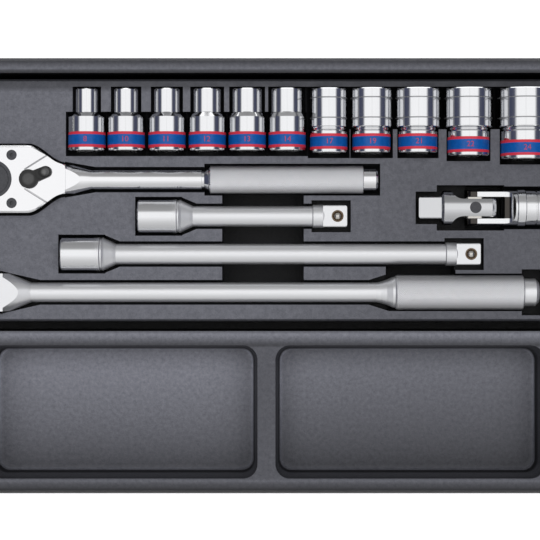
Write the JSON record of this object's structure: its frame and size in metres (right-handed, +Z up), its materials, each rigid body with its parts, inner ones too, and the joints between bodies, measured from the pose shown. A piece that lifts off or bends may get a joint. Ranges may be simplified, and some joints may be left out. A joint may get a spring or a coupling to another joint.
{
  "type": "socket wrench set in tray",
  "caption": "Half-inch-drive socket wrench set: sockets, ratchet, flex handle, extension bars and universal joint, each in its own seat of a moulded tray with open parts bins.",
  "frame": {"origin": "centre of the tray's footprint, on the surface that it stands on", "axes": "+X along the long tools towards the grips, +Y towards the row of sockets, +Z up"},
  "size_m": [0.455, 0.26, 0.0488],
  "materials": {
    "tray_plastic": "fine-grained moulded dark grey",
    "chrome": "mirror-polished nickel chrome",
    "satin_chrome": "satin chrome, knurled where it is gripped",
    "blue_band": "blue ring with red edges",
    "dark_steel": "phosphated dark steel",
    "bright_steel": "ground steel"
  },
  "bodies": {
    "tray": {"tray": "tray_plastic"},
    "insert": {"insert_heads": "tray_plastic", "insert_sockets_left": "tray_plastic", "insert_sockets_right": "tray_plastic", "insert_tools_left": "tray_plastic", "insert_tools_right": "tray_plastic"},
    "socket_08_unit": {"socket_08": "chrome", "size_band_08": "blue_band"},
    "socket_10_unit": {"socket_10": "chrome", "size_band_10": "blue_band"},
    "socket_11_unit": {"socket_11": "chrome", "size_band_11": "blue_band"},
    "socket_12_unit": {"socket_12": "chrome", "size_band_12": "blue_band"},
    "socket_13_unit": {"socket_13": "chrome", "size_band_13": "blue_band"},
    "socket_14_unit": {"socket_14": "chrome", "size_band_14": "blue_band"},
    "socket_17_unit": {"socket_17": "chrome", "size_band_17": "blue_band"},
    "socket_19_unit": {"socket_19": "chrome", "size_band_19": "blue_band"},
    "socket_21_unit": {"socket_21": "chrome", "size_band_21": "blue_band"},
    "socket_22_unit": {"socket_22": "chrome", "size_band_22": "blue_band"},
    "socket_24_unit": {"socket_24": "chrome", "size_band_24": "blue_band"},
    "ratchet_unit": {"ratchet_handle": "chrome", "ratchet_cover_plate": "chrome", "ratchet_cover_screws": "dark_steel", "ratchet_pawl_pin": "bright_steel"},
    "gear_unit": {"ratchet_gear": "dark_steel", "anvil_spring": "bright_steel"},
    "lever_unit": {"reversing_lever": "dark_steel", "lever_plunger": "bright_steel", "lever_spring": "bright_steel"},
    "pawl_unit": {"ratchet_pawl": "dark_steel"},
    "anvil_ball_unit": {"anvil_ball": "bright_steel"},
    "short_extension_unit": {"short_extension": "satin_chrome", "short_extension_spring": "bright_steel"},
    "short_extension_ball_unit": {"short_extension_ball": "bright_steel"},
    "long_extension_unit": {"long_extension_bell": "satin_chrome", "long_extension": "satin_chrome", "long_extension_spring": "bright_steel"},
    "long_extension_ball_unit": {"long_extension_ball": "bright_steel"},
    "flex_handle_unit": {"flex_handle": "satin_chrome", "flex_pivot_pin": "bright_steel"},
    "swivel_head_unit": {"flex_swivel_head": "satin_chrome", "flex_ball_spring": "bright_steel"},
    "flex_ball_unit": {"flex_ball": "bright_steel"},
    "joint_socket_end": {"joint_socket_yoke": "chrome", "joint_socket_pins": "dark_steel"},
    "joint_block_unit": {"joint_centre_block": "bright_steel"},
    "joint_square_end": {"joint_square_yoke": "chrome", "joint_square_pin": "dark_steel", "joint_ball_spring": "bright_steel"},
    "joint_ball_unit": {"joint_ball": "bright_steel"}
  },
  "joints": [
    {"name": "insert_lift", "type": "slide", "parent": "tray", "child": "insert", "axis": [0, 0, 1], "range_m": [0, 0.05]},
    {"name": "socket_08_lift", "type": "slide", "parent": "insert", "child": "socket_08_unit", "axis": [0, 0, 1], "range_m": [0, 0.035]},
    {"name": "socket_10_lift", "type": "slide", "parent": "insert", "child": "socket_10_unit", "axis": [0, 0, 1], "range_m": [0, 0.035]},
    {"name": "socket_11_lift", "type": "slide", "parent": "insert", "child": "socket_11_unit", "axis": [0, 0, 1], "range_m": [0, 0.035]},
    {"name": "socket_12_lift", "type": "slide", "parent": "insert", "child": "socket_12_unit", "axis": [0, 0, 1], "range_m": [0, 0.035]},
    {"name": "socket_13_lift", "type": "slide", "parent": "insert", "child": "socket_13_unit", "axis": [0, 0, 1], "range_m": [0, 0.035]},
    {"name": "socket_14_lift", "type": "slide", "parent": "insert", "child": "socket_14_unit", "axis": [0, 0, 1], "range_m": [0, 0.035]},
    {"name": "socket_17_lift", "type": "slide", "parent": "insert", "child": "socket_17_unit", "axis": [0, 0, 1], "range_m": [0, 0.035]},
    {"name": "socket_19_lift", "type": "slide", "parent": "insert", "child": "socket_19_unit", "axis": [0, 0, 1], "range_m": [0, 0.035]},
    {"name": "socket_21_lift", "type": "slide", "parent": "insert", "child": "socket_21_unit", "axis": [0, 0, 1], "range_m": [0, 0.035]},
    {"name": "socket_22_lift", "type": "slide", "parent": "insert", "child": "socket_22_unit", "axis": [0, 0, 1], "range_m": [0, 0.035]},
    {"name": "socket_24_lift", "type": "slide", "parent": "insert", "child": "socket_24_unit", "axis": [0, 0, 1], "range_m": [0, 0.035]},
    {"name": "ratchet_lift", "type": "slide", "parent": "insert", "child": "ratchet_unit", "axis": [0, 0, 1], "range_m": [0, 0.045]},
    {"name": "gear_turn", "type": "hinge", "parent": "ratchet_unit", "child": "gear_unit", "pos_m": [-0.1618, 0.0572, 0.033], "axis": [0, 0, 1], "continuous": true},
    {"name": "lever_throw", "type": "hinge", "parent": "ratchet_unit", "child": "lever_unit", "pos_m": [-0.1404, 0.0572, 0.033], "axis": [0, 0, 1], "range_deg": [-45, 0]},
    {"name": "pawl_rock", "type": "hinge", "parent": "ratchet_unit", "child": "pawl_unit", "pos_m": [-0.1459, 0.0572, 0.033], "axis": [0, 0, 1], "range_deg": [0, 8]},
    {"name": "anvil_ball_press", "type": "slide", "parent": "gear_unit", "child": "anvil_ball_unit", "axis": [0, 1, 0], "range_m": [0, 0.0009], "stiffness_N_per_m": 400, "springref_m": -0.001, "deforming": ["anvil_spring"]},
    {"name": "short_extension_lift", "type": "slide", "parent": "insert", "child": "short_extension_unit", "axis": [0, 0, 1], "range_m": [0, 0.035]},
    {"name": "short_extension_ball_press", "type": "slide", "parent": "short_extension_unit", "child": "short_extension_ball_unit", "axis": [0, 0, -1], "range_m": [0, 0.0009], "stiffness_N_per_m": 400, "springref_m": -0.001, "deforming": ["short_extension_spring"]},
    {"name": "long_extension_lift", "type": "slide", "parent": "insert", "child": "long_extension_unit", "axis": [0, 0, 1], "range_m": [0, 0.035]},
    {"name": "long_extension_ball_press", "type": "slide", "parent": "long_extension_unit", "child": "long_extension_ball_unit", "axis": [0, 0, -1], "range_m": [0, 0.0009], "stiffness_N_per_m": 400, "springref_m": -0.001, "deforming": ["long_extension_spring"]},
    {"name": "flex_handle_lift", "type": "slide", "parent": "insert", "child": "flex_handle_unit", "axis": [0, 0, 1], "range_m": [0, 0.035]},
    {"name": "swivel_turn", "type": "hinge", "parent": "flex_handle_unit", "child": "swivel_head_unit", "pos_m": [-0.172, -0.0099, 0.033], "axis": [0, 0, -1], "range_deg": [0, 90]},
    {"name": "flex_ball_press", "type": "slide", "parent": "swivel_head_unit", "child": "flex_ball_unit", "axis": [0, 0, -1], "range_m": [0, 0.0009], "stiffness_N_per_m": 400, "springref_m": -0.001, "deforming": ["flex_ball_spring"]},
    {"name": "universal_joint_lift", "type": "slide", "parent": "insert", "child": "joint_socket_end", "axis": [0, 0, 1], "range_m": [0, 0.035]},
    {"name": "joint_tilt", "type": "hinge", "parent": "joint_socket_end", "child": "joint_block_unit", "pos_m": [0.1236, 0.0404, 0.033], "axis": [0, 1, 0], "range_deg": [0, 45]},
    {"name": "joint_swing", "type": "hinge", "parent": "joint_block_unit", "child": "joint_square_end", "pos_m": [0.1236, 0.0404, 0.033], "axis": [0, 0, 1], "range_deg": [-5, 5]},
    {"name": "joint_ball_press", "type": "slide", "parent": "joint_square_end", "child": "joint_ball_unit", "axis": [0, 0, 1], "range_m": [0, 0.0009], "stiffness_N_per_m": 400, "springref_m": -0.001, "deforming": ["joint_ball_spring"]}
  ],
  "couplings": [
    {"joint": "pawl_rock", "follows": "lever_throw", "ratio": -0.17778}
  ]
}
